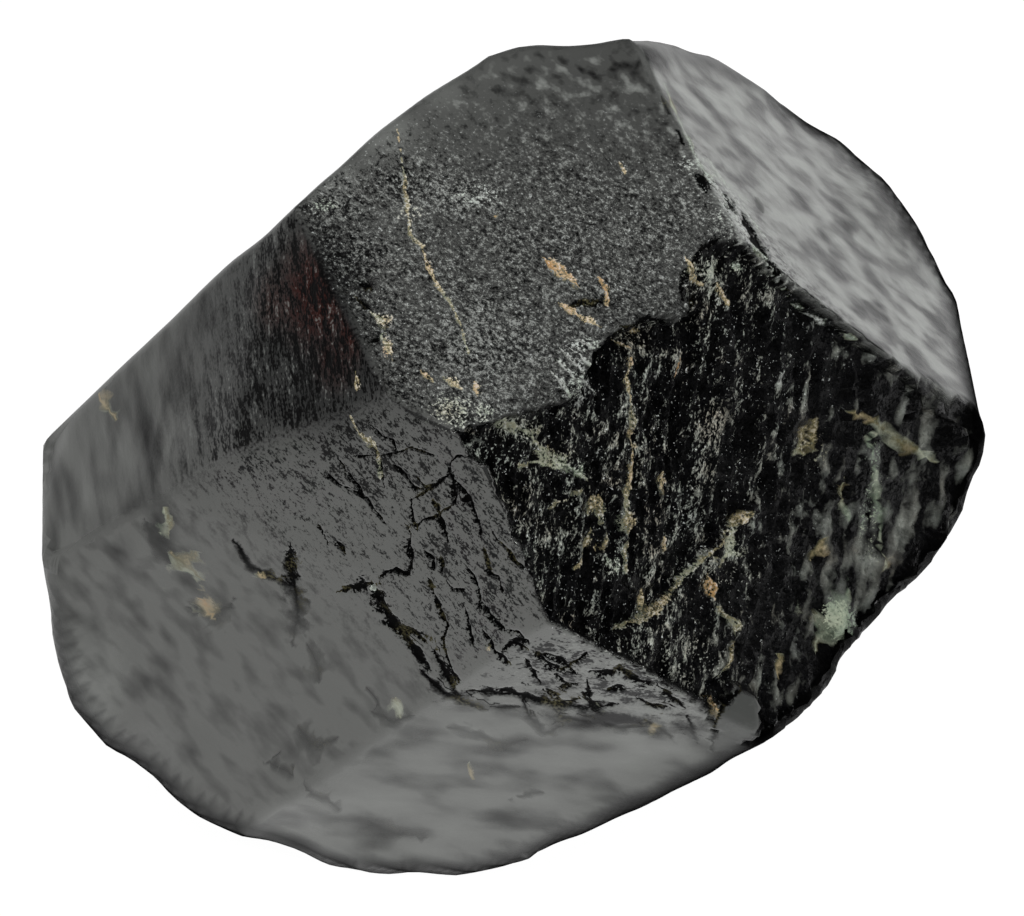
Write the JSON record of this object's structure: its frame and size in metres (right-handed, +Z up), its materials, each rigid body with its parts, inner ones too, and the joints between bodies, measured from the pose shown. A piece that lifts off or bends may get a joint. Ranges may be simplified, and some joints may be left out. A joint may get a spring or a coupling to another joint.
{
  "type": "tourmaline crystal",
  "caption": "Black tourmaline crystal, a chunky many-sided stone with ground and polished facets and a rough broken face, flat underneath so that it rests on a shelf.",
  "frame": {"origin": "middle of the stone's footprint, on the plane it rests on", "axes": "+Z up from the flat base, +X along the stone's longest side, -Y towards the polished foot between the two front facets"},
  "size_m": [0.0484, 0.0412, 0.0404],
  "materials": {
    "black_tourmaline": "natural black stone, polished on most facets, ground matte on top, rough and sparkling where broken, with thin tan and green veins"
  },
  "bodies": {
    "root": {"tourmaline_crystal": "black_tourmaline"}
  },
  "joints": []
}
